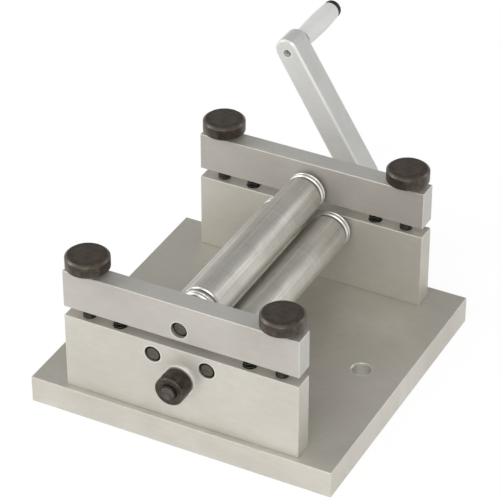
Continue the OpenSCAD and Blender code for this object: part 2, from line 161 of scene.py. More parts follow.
def makeEdgeWear():
    group, enter, leave = startGroup(
        "edgeWear",
        [("Radius", "Float", 0.0006), ("Break Up", "Float", 260)],
        ["Wear"])
    soft = addNode(group, "ShaderNodeBevel", samples=6)
    join(group, enter.outputs["Radius"], soft.inputs["Radius"])
    sharp = addNode(group, "ShaderNodeNewGeometry")
    turn = addNode(group, "ShaderNodeVectorMath", operation="DOT_PRODUCT")
    join(group, soft.outputs["Normal"], turn.inputs[0])
    join(group, sharp.outputs["Normal"], turn.inputs[1])
    edge = spread(group, turn.outputs["Value"], *masks["edgeTurn"], 0, 1)
    place = addNode(group, "ShaderNodeTexCoord")
    patches = addNode(group, "ShaderNodeTexNoise", {"Detail": 3, "Roughness": 0.6})
    join(group, place.outputs["Object"], patches.inputs["Vector"])
    join(group, enter.outputs["Break Up"], patches.inputs["Scale"])
    broken = spread(group, patches.outputs["Fac"], *masks["patches"], masks["leastWear"], 1)
    join(group, mathNode(group, "MULTIPLY", edge, broken), leave.inputs["Wear"])
    return group


def makeHandling():
    group, enter, leave = startGroup("handlingMarks", [("Scale", "Float", 30)], ["Smudge"])
    place = addNode(group, "ShaderNodeTexCoord")
    smudge = addNode(group, "ShaderNodeTexNoise", {"Detail": 5, "Roughness": 0.55, "Distortion": 0.6})
    join(group, place.outputs["Object"], smudge.inputs["Vector"])
    join(group, enter.outputs["Scale"], smudge.inputs["Scale"])
    join(group, smudge.outputs["Fac"], leave.inputs["Smudge"])
    return group


# fine lines left by a lathe: along a round surface and in rings on its ends
def makeTurning():
    group, enter, leave = startGroup(
        "turningLines",
        [("Axis", "Vector", (0, 0, 1)), ("Lines", "Float", 3500)],
        ["Height", "Tone"])
    place = addNode(group, "ShaderNodeTexCoord")
    along = addNode(group, "ShaderNodeVectorMath", operation="DOT_PRODUCT")
    join(group, place.outputs["Object"], along.inputs[0])
    join(group, enter.outputs["Axis"], along.inputs[1])
    foot = addNode(group, "ShaderNodeVectorMath", operation="SCALE")
    join(group, enter.outputs["Axis"], foot.inputs[0])
    join(group, along.outputs["Value"], foot.inputs["Scale"])
    out = addNode(group, "ShaderNodeVectorMath", operation="DISTANCE")
    join(group, place.outputs["Object"], out.inputs[0])
    join(group, foot.outputs[0], out.inputs[1])
    way = mathNode(group, "ADD", along.outputs["Value"], out.outputs["Value"])
    step = mathNode(group, "MULTIPLY", way, enter.outputs["Lines"])
    fine = addNode(group, "ShaderNodeTexNoise", {"Scale": 1, "Detail": 2}, noise_dimensions="1D")
    join(group, step, fine.inputs["W"])
    join(group, fine.outputs["Fac"], leave.inputs["Height"])
    broad = addNode(group, "ShaderNodeTexNoise", {"Scale": 0.12, "Detail": 3}, noise_dimensions="1D")
    join(group, step, broad.inputs["W"])
    join(group, broad.outputs["Fac"], leave.inputs["Tone"])
    return group


# the stretch of a piece that lies in front of a place along its own Y
def makeFrontEnd():
    group, enter, leave = startGroup("frontEnd", [("Place", "Float", 0)], ["Share"])
    place = addNode(group, "ShaderNodeTexCoord")
    split = addNode(group, "ShaderNodeSeparateXYZ")
    join(group, place.outputs["Object"], split.inputs[0])
    behind = mathNode(group, "SUBTRACT", split.outputs["Y"], enter.outputs["Place"])
    join(group, spread(group, behind, -masks["frontEnd"], masks["frontEnd"], 1, 0), leave.inputs["Share"])
    return group


# faces that lean between an axis and the sides around it, such as a bevel or the walls of a groove
def makeBrokenEdge():
    group, enter, leave = startGroup("brokenEdge", [("Axis", "Vector", (0, 0, 1))], ["Share"])
    place = addNode(group, "ShaderNodeTexCoord")
    lean = addNode(group, "ShaderNodeVectorMath", operation="DOT_PRODUCT")
    join(group, place.outputs["Normal"], lean.inputs[0])
    join(group, enter.outputs["Axis"], lean.inputs[1])
    tilt = mathNode(group, "ABSOLUTE", lean.outputs["Value"])
    rise = spread(group, tilt, *masks["bevelRise"], 0, 1)
    fall = spread(group, tilt, *masks["bevelFall"], 1, 0)
    join(group, mathNode(group, "MULTIPLY", rise, fall), leave.inputs["Share"])
    return group


# faces that look one way or the other along an axis
def makeFacing():
    group, enter, leave = startGroup(
        "facing", [("Axis", "Vector", (0, 0, 1)), ("Least", "Float", 0.9)], ["Share"])
    place = addNode(group, "ShaderNodeTexCoord")
    lean = addNode(group, "ShaderNodeVectorMath", operation="DOT_PRODUCT")
    join(group, place.outputs["Normal"], lean.inputs[0])
    join(group, enter.outputs["Axis"], lean.inputs[1])
    tilt = mathNode(group, "ABSOLUTE", lean.outputs["Value"])
    over = mathNode(group, "SUBTRACT", tilt, enter.outputs["Least"])
    join(group, spread(group, over, 0, masks["facing"], 0, 1), leave.inputs["Share"])
    return group


# how far a point lies from an axis: near it, and in the ring at a radius around it
def makeAroundAxis():
    group, enter, leave = startGroup(
        "aroundAxis",
        [("Centre", "Vector", (0, 0, 0)), ("Axis", "Vector", (0, 1, 0)), ("Reach", "Float", 0.005)],
        ["Near", "Ring"])
    place = addNode(group, "ShaderNodeTexCoord")
    offset = addNode(group, "ShaderNodeVectorMath", operation="SUBTRACT")
    join(group, place.outputs["Object"], offset.inputs[0])
    join(group, enter.outputs["Centre"], offset.inputs[1])
    along = addNode(group, "ShaderNodeVectorMath", operation="DOT_PRODUCT")
    join(group, offset.outputs[0], along.inputs[0])
    join(group, enter.outputs["Axis"], along.inputs[1])
    foot = addNode(group, "ShaderNodeVectorMath", operation="SCALE")
    join(group, enter.outputs["Axis"], foot.inputs[0])
    join(group, along.outputs["Value"], foot.inputs["Scale"])
    out = addNode(group, "ShaderNodeVectorMath", operation="DISTANCE")
    join(group, offset.outputs[0], out.inputs[0])
    join(group, foot.outputs[0], out.inputs[1])
    beyond = mathNode(group, "SUBTRACT", out.outputs["Value"], enter.outputs["Reach"])
    join(group, spread(group, beyond, 0, masks["bore"], 1, 0), leave.inputs["Near"])
    aside = mathNode(group, "ABSOLUTE", beyond)
    join(group, spread(group, aside, masks["bore"], masks["ring"], 1, 0), leave.inputs["Ring"])
    return group


grainGroup = makeGrain()
wearGroup = makeEdgeWear()
handlingGroup = makeHandling()
turningGroup = makeTurning()
frontEndGroup = makeFrontEnd()
brokenEdgeGroup = makeBrokenEdge()
facingGroup = makeFacing()
aroundAxisGroup = makeAroundAxis()
print("shared effects made")


# materials

def startMaterial(name):
    made = bpy.data.materials.new(name)
    made.use_nodes = True
    tree = made.node_tree
    shader = next(n for n in tree.nodes if n.type == "BSDF_PRINCIPLED")
    return made, tree, shader


def placeGroup(tree, group, values):
    made = addNode(tree, "ShaderNodeGroup")
    made.node_tree = group
    for label, value in values.items():
        made.inputs[label].default_value = value
    return made


def addBump(tree, shader, height, look):
    made = addNode(tree, "ShaderNodeBump", {"Strength": look["bump"], "Distance": look["bumpDepth"] * mm})
    join(tree, height, made.inputs["Height"])
    join(tree, made.outputs["Normal"], shader.inputs["Normal"])


# worn edges, with a painted highlight on the bevels about the look's axis and painted light on its bores and
# rims of holes when it names them
def brightEdges(tree, look):
    wear = placeGroup(tree, wearGroup, {"Radius": look["wearRadius"] * mm, "Break Up": look["breakUp"]})
    wearAndPaintedShine = wear.outputs["Wear"]
    # painted highlight: bevels and groove walls about the axis are mixed toward the edge colour
    if "bevelShine" in look:
        bevel = placeGroup(tree, brokenEdgeGroup, {"Axis": look["axis"]})
        shine = mathNode(tree, "MULTIPLY", bevel.outputs["Share"], look["bevelShine"])
        if "shineTowards" in look:
            facing = {"Axis": look["shineTowards"], "Least": look["shineLeast"]}
            side = placeGroup(tree, facingGroup, facing)
            shine = mathNode(tree, "MULTIPLY", shine, side.outputs["Share"])
        wearAndPaintedShine = mathNode(tree, "MAXIMUM", wearAndPaintedShine, shine)
    # painted light: the walls of bores and the rims of holes are mixed toward the edge colour
    for holes, part in (("bores", "Near"), ("rims", "Ring")):
        for centre, axis, reach in look.get(holes, []):
            hole = placeGroup(tree, aroundAxisGroup, {"Centre": centre, "Axis": axis, "Reach": reach})
            shine = mathNode(tree, "MULTIPLY", hole.outputs[part], look[holes + "Shine"])
            wearAndPaintedShine = mathNode(tree, "MAXIMUM", wearAndPaintedShine, shine)
    return wearAndPaintedShine


# random tone between the look's shade and light, with another pair for each axis along which the look names
# faces, painting those faces lighter or darker: painted light and shade
def toneAndPaintedFaceLight(tree, look, tone):
    body = mixColours(tree, tone, look["shade"], look["light"])
    for axis, shade, light in look.get("faces", []):
        facing = placeGroup(tree, facingGroup, {"Axis": axis})
        face = mixColours(tree, tone, shade, light)
        body = mixColours(tree, facing.outputs["Share"], body, face)
    return body


# ground and plated flat metal
def makeFlatMetal(name, look):
    made, tree, shader = startMaterial(name)
    shader.inputs["Metallic"].default_value = look["metallic"]
    grain = placeGroup(tree, grainGroup, {"Stretch": look["stretch"], "Scale": look["grainScale"]})
    wearAndPaintedShine = brightEdges(tree, look)
    marks = placeGroup(tree, handlingGroup, {"Scale": look["smudgeScale"]})
    tone = mathNode(tree, "MULTIPLY_ADD", grain.outputs["Tone"], look["grainTone"], marks.outputs["Smudge"])
    body = toneAndPaintedFaceLight(tree, look, spread(tree, tone, *look["toneSpan"], 0, 1))
    face = mixColours(tree, wearAndPaintedShine, body, look["edge"])
    join(tree, face, shader.inputs["Base Color"])
    dull = spread(tree, tone, *look["dullSpan"], *look["roughness"])
    join(tree, mathNode(tree, "MULTIPLY_ADD", wearAndPaintedShine, -look["polish"], dull), shader.inputs["Roughness"])
    addBump(tree, shader, grain.outputs["Height"], look)
    return made


# turned round metal, with painted shade on the groove floors and an end darkened before a place along Y,
# ringed by painted shade at its rim, when the look names them
def makeTurnedMetal(name, look):
    made, tree, shader = startMaterial(name)
    shader.inputs["Metallic"].default_value = look["metallic"]
    lines = placeGroup(tree, turningGroup, {"Axis": look["axis"], "Lines": look["lines"]})
    marks = placeGroup(tree, handlingGroup, {"Scale": look["smudgeScale"]})
    wearAndPaintedShine = brightEdges(tree, look)
    tone = mathNode(tree, "MULTIPLY_ADD", lines.outputs["Tone"], look["lineTone"], marks.outputs["Smudge"])
    if "streaks" in look:
        feed = placeGroup(tree, grainGroup, {"Stretch": look["streakStretch"], "Scale": look["streaks"]})
        tone = mathNode(tree, "MULTIPLY_ADD", feed.outputs["Height"], look["streakTone"], tone)
    share = spread(tree, tone, *look["toneSpan"], 0, 1)
    body = mixColours(tree, share, look["shade"], look["light"])
    face = mixColours(tree, wearAndPaintedShine, body, look["edge"])
    dull = spread(tree, tone, *look["toneSpan"], *look["roughness"])
    dull = mathNode(tree, "MULTIPLY_ADD", wearAndPaintedShine, -look["polish"], dull)
    # painted shade: the ring at the groove floor is mixed toward a dark colour
    if "grooveFloor" in look:
        ring = placeGroup(tree, aroundAxisGroup, {"Axis": look["axis"], "Reach": look["grooveFloor"]})
        face = mixColours(tree, ring.outputs["Ring"], face, look["paintedShade"])
    if "darkBefore" in look:
        end = placeGroup(tree, frontEndGroup, {"Place": look["darkBefore"]})
        core = placeGroup(tree, aroundAxisGroup, {
            "Centre": look.get("centre", (0, 0, 0)), "Axis": look["axis"], "Reach": look["coreReach"]})
        darkEndAndRimShade = mixColours(tree, share, look["darkShade"], look["darkLight"])
        # painted shade: a darker ring around the core of the end
        darkEndAndRimShade = mixColours(tree, core.outputs["Near"], look["darkRim"], darkEndAndRimShade)
        face = mixColours(tree, end.outputs["Share"], face, darkEndAndRimShade)
        dull = mathNode(tree, "MULTIPLY_ADD", end.outputs["Share"], look["darkEndDull"], dull)
    join(tree, face, shader.inputs["Base Color"])
    join(tree, dull, shader.inputs["Roughness"])
    addBump(tree, shader, lines.outputs["Height"], look)
    return made


# blackened steel, thin over the metal beneath at the worn edges, with a painted highlight on its bevels
def makeBlackSteel(name, look):
    made, tree, shader = startMaterial(name)
    shader.inputs["Metallic"].default_value = look["metallic"]
    lines = placeGroup(tree, turningGroup, {"Axis": look["axis"], "Lines": look["lines"]})
    marks = placeGroup(tree, handlingGroup, {"Scale": look["smudgeScale"]})
    wearAndPaintedShine = brightEdges(tree, look)
    tone = mathNode(tree, "MULTIPLY_ADD", lines.outputs["Tone"], look["lineTone"], marks.outputs["Smudge"])
    body = toneAndPaintedFaceLight(tree, look, spread(tree, tone, *look["toneSpan"], 0, 1))
    face = mixColours(tree, wearAndPaintedShine, body, look["edge"])
    if "paintedTipLightBefore" in look:  # painted highlight: a lighter tip in front of a place along Y
        end = placeGroup(tree, frontEndGroup, {"Place": look["paintedTipLightBefore"]})
        face = mixColours(tree, end.outputs["Share"], face, look["paintedTipLight"])
    join(tree, face, shader.inputs["Base Color"])
    dull = spread(tree, marks.outputs["Smudge"], *look["dullSpan"], *look["roughness"])
    join(tree, mathNode(tree, "MULTIPLY_ADD", wearAndPaintedShine, -look["polish"], dull), shader.inputs["Roughness"])
    addBump(tree, shader, lines.outputs["Height"], look)
    return made


# moulded nylon, with painted shadow at its root
def makeNylon(name, look):
    made, tree, shader = startMaterial(name)
    shader.inputs["Subsurface Weight"].default_value = look["scatter"]
    shader.inputs["Subsurface Radius"].default_value = look["scatterReach"]
    shader.inputs["Subsurface Scale"].default_value = 1
    grain = placeGroup(tree, grainGroup, {"Scale": look["grainScale"]})
    marks = placeGroup(tree, handlingGroup, {"Scale": look["smudgeScale"]})
    tone = spread(tree, marks.outputs["Smudge"], *look["toneSpan"], 0, 1)
    sleeve = mixColours(tree, tone, look["shade"], look["light"])
    # painted shadow: the sleeve's root beside the arm is mixed toward a dark colour
    root = placeGroup(tree, frontEndGroup, {"Place": look["rootReach"]})
    join(tree, mixColours(tree, root.outputs["Share"], sleeve, look["paintedShade"]), shader.inputs["Base Color"])
    dull = spread(tree, grain.outputs["Tone"], *look["dullSpan"], *look["roughness"])
    join(tree, dull, shader.inputs["Roughness"])
    addBump(tree, shader, grain.outputs["Height"], look)
    return made


def middle(node):
    low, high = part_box(node)
    return (low + high) / 2


# a bore or rim given painted light: a point on its axis, the axis, and how far from it the painted light
# reaches
def boreAlong(node, axis, reach):
    return middle(node), axis, reach


across = (1, 0, 0)
level = (0, 1, 0)
upright = (0, 0, 1)
# how far the painted light reaches around the journal bores, the arm's bore and the bench holes' rims
journalRim = 4.5 * mm
armBore = 2.4 * mm
benchRim = 0.4 * mm
journalDarkReach = 4 * mm
mainGrooveDepth = 0.9
bench = next(m for m in frame["record"]["mounts"] if m["name"] == "bench_bolts")["dims"]
benchR = bench["hole_r_mm"] * mm
benchX = bench["spacing_x_mm"] / 2 * mm
benchAxes = [((side * benchX, 0, 0), upright) for side in (-1, 1)]
benchBores = [(*axis, benchR) for axis in benchAxes]
benchRims = [(*axis, benchR + benchRim) for axis in benchAxes]
blockBores = [boreAlong(node, level, journalRim) for node in ("lower_roller_left", "lower_roller_right")]
satinLook = {
    "shade": (0.575, 0.547, 0.49), "light": (0.685, 0.656, 0.598), "edge": (0.80, 0.785, 0.74),
    "stretch": (0.25, 1, 1), "grainScale": 2600, "grainTone": 0.35, "smudgeScale": 22,
    "toneSpan": (0.45, 0.95), "dullSpan": (0.4, 1.0), "roughness": (0.58, 0.46), "polish": 0.15,
    "bump": 0.22, "bumpDepth": 0.02, "wearRadius": 0.4, "breakUp": 260, "metallic": 0.6,
    # painted light on the walls of the bench holes and journal bores, and a painted highlight on the bench
    # holes' rims
    "bores": benchBores + blockBores, "boresShine": 0.7, "rims": benchRims, "rimsShine": 1,
}
# bars: tops take the lighter pair, fronts, backs and ends darker pairs, as painted light and shade; painted
# light on the top roller's journal bores
barLook = dict(satinLook, shade=(0.61, 0.59, 0.55), light=(0.72, 0.70, 0.655),
               faces=[(level, (0.485, 0.457, 0.417), (0.575, 0.545, 0.503)),
                      (across, (0.525, 0.507, 0.473), (0.62, 0.60, 0.563))],
               edge=(0.72, 0.70, 0.66), rims=[],
               bores=[boreAlong("top_roller", level, journalRim)], boresShine=0.8)
armHub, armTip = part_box("drive_shaft"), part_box("grip")
armWay = (armTip[0] + armTip[1] - armHub[0] - armHub[1]) * Vector((1, 0, 1))
armSide = armWay.cross(Vector(level)).normalized()
# arm: sides painted darker than front and back (painted shade), a painted highlight on the bevels toward the
# sides, painted light in the bore
armLook = dict(satinLook, shade=(0.74, 0.74, 0.72), light=(0.83, 0.83, 0.81), edge=(0.97, 0.97, 0.96),
               faces=[(armSide, (0.575, 0.575, 0.562), (0.65, 0.65, 0.635))], rims=[],
               axis=level, bevelShine=1, shineTowards=armSide, shineLeast=0.55, wearRadius=0.15,
               smudgeScale=40, metallic=0.5, bores=[boreAlong("grip", level, armBore)], boresShine=1)
rollerLook = {
    "shade": (0.51, 0.49, 0.45), "light": (0.76, 0.735, 0.68), "edge": (0.92, 0.91, 0.88),
    # bevelShine paints a highlight on the bevels and groove walls
    "axis": level, "lines": 4000, "lineTone": 0.25, "smudgeScale": 45, "breakUp": 260, "bevelShine": 0.9,
    "toneSpan": (0.4, 1.0), "roughness": (0.5, 0.38), "polish": 0.15, "darkEndDull": 0.15,
    "bump": 0.2, "bumpDepth": 0.01, "wearRadius": 0.3, "metallic": 0.7,
}
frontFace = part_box("front_block")[0].y
grooveFloor = (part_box("top_roller")[1].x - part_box("top_roller")[0].x) / 2 - mainGrooveDepth * mm
# rollers: painted shade on the groove floors, and a ring of painted shade around each journal end
barrelLook = dict(rollerLook, streaks=900, streakStretch=(1, 0.02, 1), streakTone=1.1, toneSpan=(0.85, 1.55),
                  grooveFloor=grooveFloor, paintedShade=(0.22, 0.21, 0.185),
                  darkBefore=frontFace + journalDarkReach, coreReach=2.9 * mm, darkRim=(0.012, 0.011, 0.008),
                  darkShade=(0.045, 0.04, 0.03), darkLight=(0.17, 0.156, 0.12))
# drive shaft stub: a ring of painted shade around the core of its end
shaftLook = dict(rollerLook, darkBefore=frontFace, roughness=(0.44, 0.3),
                 smudgeScale=260, darkShade=(0.065, 0.054, 0.043), darkLight=(0.17, 0.145, 0.115),
                 centre=middle("drive_shaft"), coreReach=3.2 * mm, darkRim=(0.02, 0.017, 0.013))
gearLook = dict(rollerLook, roughness=(0.44, 0.3), lines=2500, bevelShine=0.5)
washerLook = dict(rollerLook, light=(0.93, 0.93, 0.91), shade=(0.84, 0.84, 0.82), roughness=(0.34, 0.24))
blackLook = {
    "shade": (0.07, 0.056, 0.044), "light": (0.145, 0.118, 0.095), "edge": (0.36, 0.32, 0.28),
    # bevelShine paints a highlight on the bevels
    "axis": upright, "lines": 3000, "lineTone": 0.4, "smudgeScale": 110, "breakUp": 420, "bevelShine": 0.55,
    "toneSpan": (0.45, 0.95), "dullSpan": (0.3, 0.7), "roughness": (0.48, 0.34), "polish": 0.25,
    "bump": 0.3, "bumpDepth": 0.02, "wearRadius": 0.25, "metallic": 0.75,
}
# thumbscrews: head tops painted lighter than the sides, as painted light
thumbLook = dict(blackLook, shade=(0.045, 0.035, 0.027), light=(0.11, 0.088, 0.07), bevelShine=0.2,
                 smudgeScale=260, faces=[(upright, (0.085, 0.071, 0.058), (0.15, 0.126, 0.103))])
# the thread is a darker copy of the blackened steel, as painted shade of the slot under the bars
threadLook = dict(blackLook, shade=(0.03, 0.026, 0.022), light=(0.07, 0.06, 0.05), bevelShine=0)
collarLook = dict(blackLook, shade=(0.027, 0.022, 0.017), light=(0.09, 0.073, 0.058),
                  edge=(0.24, 0.205, 0.17), smudgeScale=320, axis=level, bevelShine=0.06)
# grip screw: its stretch inside the arm is painted lighter, as a painted highlight in the arm's hole
capLook = dict(blackLook, shade=(0.018, 0.018, 0.018), light=(0.04, 0.039, 0.037), axis=level,
               bevelShine=0.1, paintedTipLightBefore=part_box("crank_arm")[1].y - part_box("grip_screw")[0].y,
               paintedTipLight=(0.24, 0.24, 0.23))
# the springs are a darker copy of the blackened steel, as painted shade of the slot between bar and block
springLook = dict(blackLook, light=(0.05, 0.045, 0.038), shade=(0.022, 0.02, 0.017), lines=400, bevelShine=0)
nylonLook = {
    # the root's dark colour is painted shadow
    "shade": (0.83, 0.83, 0.825), "light": (0.92, 0.92, 0.915), "paintedShade": (0.25, 0.24, 0.23),
    "rootReach": 1.1 * mm, "scatter": 0.15, "scatterReach": (2 * mm, 2 * mm, 1.8 * mm),
    "grainScale": 1400, "smudgeScale": 60, "toneSpan": (0.3, 0.75), "dullSpan": (0.3, 0.7),
    "roughness": (0.36, 0.5), "bump": 0.12, "bumpDepth": 0.02,
}

satinMetal = makeFlatMetal("satinMetal", satinLook)
barMetal = makeFlatMetal("barMetal", barLook)
armMetal = makeFlatMetal("armMetal", armLook)
rollerSteel = makeTurnedMetal("rollerSteel", barrelLook)
shaftSteel = makeTurnedMetal("shaftSteel", shaftLook)
gearSteel = makeTurnedMetal("gearSteel", gearLook)
washerSteel = makeTurnedMetal("washerSteel", washerLook)
thumbSteel = makeBlackSteel("thumbSteel", thumbLook)
threadSteel = makeBlackSteel("threadSteel", threadLook)
collarSteel = makeBlackSteel("collarSteel", collarLook)
capSteel = makeBlackSteel("capSteel", capLook)
screwSteel = makeBlackSteel("screwSteel", blackLook)
springSteel = makeBlackSteel("springSteel", springLook)
whiteNylon = makeNylon("whiteNylon", nylonLook)
print("materials made")


# meshes
sharpAngle = math.radians(35)
cornerSteps = 4
cornerShare = 0.45  # the most of an outline's side that one rounded corner takes
weldReach = 0.0001 * mm


def addPiece(name, mesh, material, place):
    made = bpy.data.objects.new(name, mesh)
    bpy.context.scene.collection.objects.link(made)
    mesh.materials.append(material)
    made.location = place
    return made


def smoothFaces(mesh):
    mesh.shade_smooth()
    mesh.set_sharp_from_angle(angle=sharpAngle)


# rounds each inner corner of an outline of (radius, height) points
def softCorners(outline, reach):
    made = [outline[0]]
    for before, corner, after in zip(outline, outline[1:], outline[2:]):
        here = Vector(corner)
        back = Vector(before) - here
        ahead = Vector(after) - here
        cut = min(reach, back.length * cornerShare, ahead.length * cornerShare)
        start = here + back.normalized() * cut
        end = here + ahead.normalized() * cut
        for step in range(cornerSteps + 1):
            share = step / cornerSteps
            point = start.lerp(here, share).lerp(here.lerp(end, share), share)
            made.append(tuple(point))
    made.append(outline[-1])
    return made


# joins rings that meet, so that a shell is closed, and turns its faces outwards
def closeShell(bm):
    bmesh.ops.remove_doubles(bm, verts=bm.verts, dist=weldReach)
    bmesh.ops.recalc_face_normals(bm, faces=bm.faces)


# turns an outline in millimetres about the upright axis, or about the level one for a lying piece
def turned(name, outline, material, place, segments, lying=False, reach=0.2):
    bm = bmesh.new()
    rows = []
    for radius, height in softCorners(outline, reach):
        if radius == 0:
            rows.append([bm.verts.new((0, 0, height * mm))])
            continue
        rows.append([
            bm.verts.new((radius * mm * math.cos(turn), radius * mm * math.sin(turn), height * mm))
            for turn in (2 * math.pi * k / segments for k in range(segments))])
    for low, high in zip(rows, rows[1:]):
        for k in range(segments):
            after = (k + 1) % segments
            ring = [low[k % len(low)], low[after % len(low)], high[after % len(high)], high[k % len(high)]]
            corners = list(dict.fromkeys(ring))
            if len(corners) > 2:
                bm.faces.new(corners)
    closeShell(bm)
    if lying:
        bmesh.ops.rotate(bm, verts=bm.verts, matrix=Matrix.Rotation(-math.pi / 2, 3, "X"))
    mesh = bpy.data.meshes.new(name)
    bm.to_mesh(mesh)
    bm.free()
    smoothFaces(mesh)
    return addPiece(name, mesh, material, place)


def standFor(piece, node, body):
    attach(piece, body)
    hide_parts(node)


# materials on the solids that stay as they are
kept = {node: satinMetal for node in ("base_plate", "front_block", "rear_block")}
kept.update({node: barMetal for node in ("front_bar", "rear_bar")})
kept.update({"crank_arm": armMetal, "thrust_washer": washerSteel, "drive_shaft": shaftSteel})
kept.update({node: gearSteel for node in ("roller_gear_left", "roller_gear_right", "drive_pinion")})
kept["shaft_collar"] = collarSteel
kept.update({node: screwSteel for node in (
    "collar_screw", "gear_screw_left", "gear_screw_right", "pinion_screw", "arm_screw", "block_screws")})
for node, material in kept.items():
    nodes[node].data.materials.clear()
    nodes[node].data.materials.append(material)
print("solids dressed:", len(kept))


# thumbscrews: threaded shank, shoulder and bevelled head
thumb = {
    "headHeight": 6.8, "bevel": 1.2, "bevelDrop": 0.96, "lowerBevel": 0.84, "shoulder": 12, "plain": 1.5,
    "thread": 6, "pitch": 1, "threadDepth": 0.55, "flankTop": 1.25, "flankSlope": 1.5,
    "rowsPerTurn": 10, "around": 64,
}


# threaded rod with its lower end closed, open where the plain shank goes on
def threadedShank(bm, bottom, top):
    rows = round((top - bottom) / thumb["pitch"] * thumb["rowsPerTurn"])
    rowStep = (top - bottom) / rows
    crest = thumb["thread"] / 2
    around = thumb["around"]
    grid = []
    for row in range(rows + 1):
        height = bottom + rowStep * row
        ring = []
        for k in range(around):
            phase = (height / thumb["pitch"] - k / around) % 1
            flank = thumb["flankTop"] - abs(2 * phase - 1) * thumb["flankSlope"]
            depth = thumb["threadDepth"] * min(1, max(0, flank))
            fade = min(1, (height - bottom) / thumb["pitch"], (top - height) / thumb["pitch"])
            radius = (crest - depth * fade) * mm
            turn = 2 * math.pi * k / around
            ring.append(bm.verts.new((radius * math.cos(turn), radius * math.sin(turn), height * mm)))
        grid.append(ring)
    faces = [bm.faces.new(list(reversed(grid[0])))]
    for low, high in zip(grid, grid[1:]):
        for k in range(around):
            after = (k + 1) % around
            faces.append(bm.faces.new((low[k], low[after], high[after], high[k])))
    for face in faces:
        face.material_index = 1


for end in ("front", "rear"):
    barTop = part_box(end + "_bar")[1].z / mm
    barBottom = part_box(end + "_bar")[0].z / mm
    for side in ("left", "right"):
        node = "thumbscrew_" + end + "_" + side
        low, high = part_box(node)
        radius = (high.x - low.x) / 2 / mm
        top = high.z / mm
        under = top - thumb["headHeight"]
        lowerBevel = thumb["lowerBevel"]
        shankTop = barBottom + thumb["plain"]
        outline = [
            (thumb["thread"] / 2, shankTop), (thumb["thread"] / 2, barTop),
            (thumb["shoulder"] / 2, barTop), (thumb["shoulder"] / 2, under),
            (radius - lowerBevel, under), (radius, under + lowerBevel),
            (radius, top - thumb["bevelDrop"]), (radius - thumb["bevel"], top), (0, top)]
        spot = middle(node)
        piece = turned(node + "_turned", outline, thumbSteel, (spot.x, spot.y, 0), thumb["around"])
        bm = bmesh.new()
        bm.from_mesh(piece.data)
        threadedShank(bm, low.z / mm, shankTop)
        closeShell(bm)
        bm.to_mesh(piece.data)
        bm.free()
        piece.data.materials.append(threadSteel)
        smoothFaces(piece.data)
        standFor(piece, node, node)
print("thumbscrews made")


# lift springs: one wire wound from the pocket's floor to the bar
spring = {"outer": 6, "wire": 0.8, "turns": 7, "rings": 28, "sides": 12}


def woundWire(name, bottom, top, place):
    wireR = spring["wire"] / 2
    coilR = spring["outer"] / 2 - wireR
    first = bottom + wireR
    rise = top - wireR - first
    steps = spring["turns"] * spring["rings"]
    slope = math.atan2(rise / spring["turns"], 2 * math.pi * coilR)
    bm = bmesh.new()
    grid = []
    for step in range(steps + 1):
        turn = 2 * math.pi * step / spring["rings"]
        ring = []
        for k in range(spring["sides"]):
            around = 2 * math.pi * k / spring["sides"]
            reach = coilR + wireR * math.cos(around)
            aside = -wireR * math.sin(around) * math.sin(slope)
            height = first + rise * step / steps + wireR * math.sin(around) * math.cos(slope)
            ring.append(bm.verts.new((
                (reach * math.cos(turn) - aside * math.sin(turn)) * mm,
                (reach * math.sin(turn) + aside * math.cos(turn)) * mm,
                height * mm)))
        grid.append(ring)
    for low, high in zip(grid, grid[1:]):
        for k in range(spring["sides"]):
            after = (k + 1) % spring["sides"]
            bm.faces.new((low[k], low[after], high[after], high[k]))
    bm.faces.new(list(reversed(grid[0])))
    bm.faces.new(grid[-1])
    closeShell(bm)
    mesh = bpy.data.meshes.new(name)
    bm.to_mesh(mesh)
    bm.free()
    smoothFaces(mesh)
    return addPiece(name, mesh, springSteel, place)


for end in ("front", "rear"):
    for side in ("left", "right"):
        node = "lift_spring_" + end + "_" + side
        low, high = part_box(node)
        spot = middle(node)
        piece = woundWire(node + "_wound", low.z / mm, high.z / mm, (spot.x, spot.y, 0))
        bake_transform(piece)
        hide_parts(node)
print("springs made")


# rollers: barrel with bevelled ends and two turned grooves near each end, on shoulders and plain journals
roller = {
    "journal": 8, "shoulder": 11, "endPlay": 0.4, "frontGap": 5.3, "rearGap": 1.5, "bevel": 1.2,
    "grooves": [{"inset": 4.8, "width": 2.4, "depth": mainGrooveDepth},
                {"inset": 2.2, "width": 0.8, "depth": 0.35}],
    "tip": 0.5, "around": 128, "corner": 0.5,
}


def rollerOutline(node):
    low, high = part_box(node)
    radius = (high.x - low.x) / 2 / mm
    journal = roller["journal"] / 2
    shoulder = roller["shoulder"] / 2
    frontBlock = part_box("front_block")[1].y / mm
    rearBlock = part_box("rear_block")[0].y / mm
    front = frontBlock + roller["frontGap"]
    rear = rearBlock - roller["rearGap"]
    rearGrooves = []
    frontGrooves = []
    for groove in roller["grooves"]:
        floor = radius - groove["depth"]
        half = groove["width"] / 2
        cut = [(radius, -half), (floor, -half / 2), (floor, half / 2), (radius, half)]
        frontGrooves = [(r, front + groove["inset"] + y) for r, y in cut] + frontGrooves
        rearGrooves += [(r, rear - groove["inset"] + y) for r, y in cut]
    frontEnd = low.y / mm
    rearEnd = high.y / mm
    tip = roller["tip"]
    bevel = roller["bevel"]
    play = roller["endPlay"]
    return [
        (0, frontEnd), (journal - tip, frontEnd), (journal, frontEnd + tip),
        (journal, frontBlock + play), (shoulder, frontBlock + play), (shoulder, front),
        (radius - bevel, front), (radius, front + bevel), *frontGrooves, *rearGrooves,
        (radius, rear - bevel), (radius - bevel, rear), (shoulder, rear),
        (shoulder, rearBlock - play), (journal, rearBlock - play),
        (journal, rearEnd - tip), (journal - tip, rearEnd), (0, rearEnd)]


